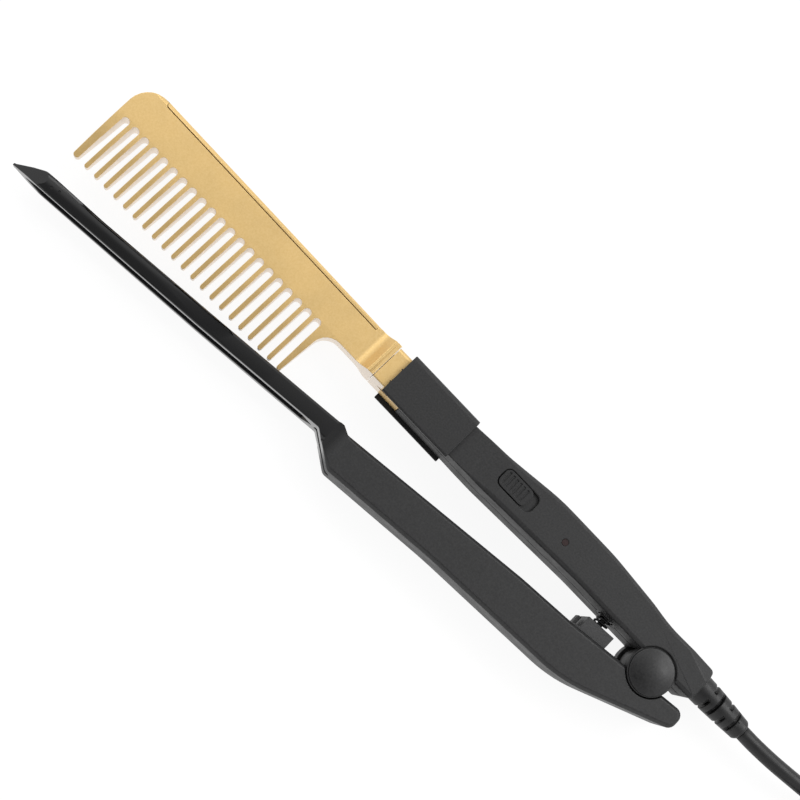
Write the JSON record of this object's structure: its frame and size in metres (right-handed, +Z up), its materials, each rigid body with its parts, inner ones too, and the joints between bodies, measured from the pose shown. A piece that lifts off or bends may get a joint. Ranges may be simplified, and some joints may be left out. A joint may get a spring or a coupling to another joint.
{
  "type": "electric hot comb",
  "caption": "Heated comb on a slim handle with a sprung, slotted clamp arm, a slide switch and a mains cord with its plug.",
  "frame": {"origin": "middle of the comb's own box in plan, on the surface that it lies on (the cord and plug don't count)", "axes": "+X along the handle from the cord to the comb's far end, +Y from the comb's spine towards the clamp arm, +Z up, out of the face with the switch"},
  "size_m": [0.5982, 0.074, 0.0224],
  "materials": {
    "handle_plastic": "fine-grained matt moulding",
    "collar_plastic": "satin moulding",
    "gold_coating": "satin gold coating on die-cast metal",
    "ceramic": "sintered ceramic",
    "film": "thin insulating film",
    "board": "laminate board with parts",
    "dark_plastic": "fine-grained matt moulding",
    "button_plastic": "satin moulding",
    "led": "clear tinted lamp",
    "lens": "clear tinted window",
    "wire": "insulated wire",
    "sleeved_wire": "braided glass sleeve",
    "steel": "plated steel",
    "cap_plastic": "satin moulding",
    "arm_plastic": "fine-grained matt moulding",
    "seat_plastic": "matt moulding",
    "liner_rubber": "heat-resistant silicone",
    "cord_rubber": "smooth flexible jacket",
    "tie_plastic": "woven strap",
    "plug_plastic": "satin moulding"
  },
  "bodies": {
    "body": {"handle_front_shell": "handle_plastic", "handle_back_shell": "handle_plastic", "collar": "collar_plastic", "shank_sleeve": "gold_coating", "comb_head": "gold_coating", "spine_cap": "gold_coating", "heater_plate": "ceramic", "heater_insulation": "film", "thermal_fuse": "ceramic", "circuit_board": "board", "switch_body": "dark_plastic", "indicator_led": "led", "indicator_window": "lens", "mains_leads": "wire", "heater_leads": "sleeved_wire", "handle_screws": "steel", "hinge_pin": "steel", "pivot_cap_front": "cap_plastic", "pivot_cap_back": "cap_plastic", "spring_cup": "dark_plastic", "return_spring": "steel", "strain_relief": "cord_rubber", "cord_lead": "cord_rubber", "cord_hank": "cord_rubber", "cord_tail": "cord_rubber", "hank_tie": "tie_plastic", "plug_body": "plug_plastic", "plug_blades": "steel"},
    "arm": {"arm_lever": "arm_plastic", "arm_cover": "dark_plastic", "arm_screws": "steel", "spring_seat": "seat_plastic", "grip_liner": "liner_rubber"},
    "switch": {"switch_button": "button_plastic"}
  },
  "joints": [
    {"name": "arm_hinge", "type": "hinge", "parent": "body", "child": "arm", "pos_m": [-0.13395, -0.0095, 0.0105], "axis": [0, 0, -1], "range_deg": [0, 7], "stiffness_Nm_per_rad": 1.5, "springref_deg": -17.19, "deforming": ["return_spring"]},
    {"name": "switch_slide", "type": "slide", "parent": "body", "child": "switch", "axis": [-1, 0, 0], "range_m": [0, 0.0029]}
  ]
}
